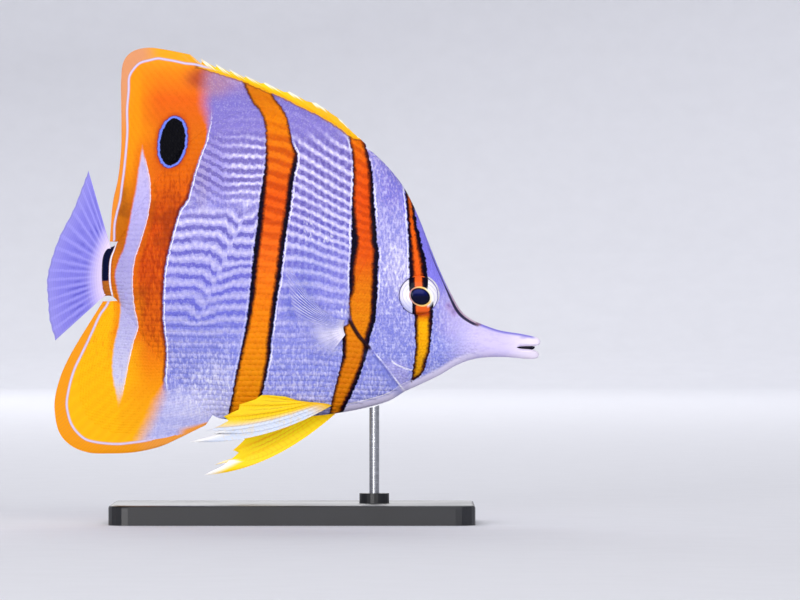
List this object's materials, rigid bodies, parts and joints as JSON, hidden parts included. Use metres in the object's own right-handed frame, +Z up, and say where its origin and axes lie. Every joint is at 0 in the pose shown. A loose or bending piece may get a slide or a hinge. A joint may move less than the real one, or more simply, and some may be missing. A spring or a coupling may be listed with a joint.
{
  "type": "copperband butterflyfish",
  "caption": "Still life-size copperband butterflyfish, deep thin body with a long snout and spread fins, held by a rod on a flat display base.",
  "frame": {"origin": "centre of the display base's underside, on the floor", "axes": "+X the way the fish looks, +Y to the fish's left side, +Z up"},
  "size_m": [0.15, 0.064, 0.144],
  "materials": {
    "scaled_skin": "silvery lavender skin under small scales",
    "lip_skin": "smooth pale skin",
    "yellow_fin": "yellow fin skin over fine rays",
    "orange_fin": "orange fin skin over fine rays",
    "clear_fin": "translucent fin skin over fine rays",
    "eye": "wet glossy eye, white iris and dark pupil",
    "stand_black": "satin black",
    "stand_steel": "brushed"
  },
  "bodies": {
    "root": {"head": "scaled_skin", "snout": "scaled_skin", "upper_jaw": "lip_skin", "lower_jaw": "lip_skin", "torso": "scaled_skin", "tail_stalk": "scaled_skin", "dorsal_fin_spiny": "yellow_fin", "dorsal_fin_soft": "orange_fin", "anal_fin": "orange_fin", "tail_fin": "clear_fin", "pectoral_fin_left": "clear_fin", "pectoral_fin_right": "clear_fin", "pelvic_fin_left": "yellow_fin", "pelvic_fin_right": "yellow_fin", "eye_left": "eye", "eye_right": "eye", "stand_base": "stand_black", "stand_rod": "stand_steel"}
  },
  "joints": []
}
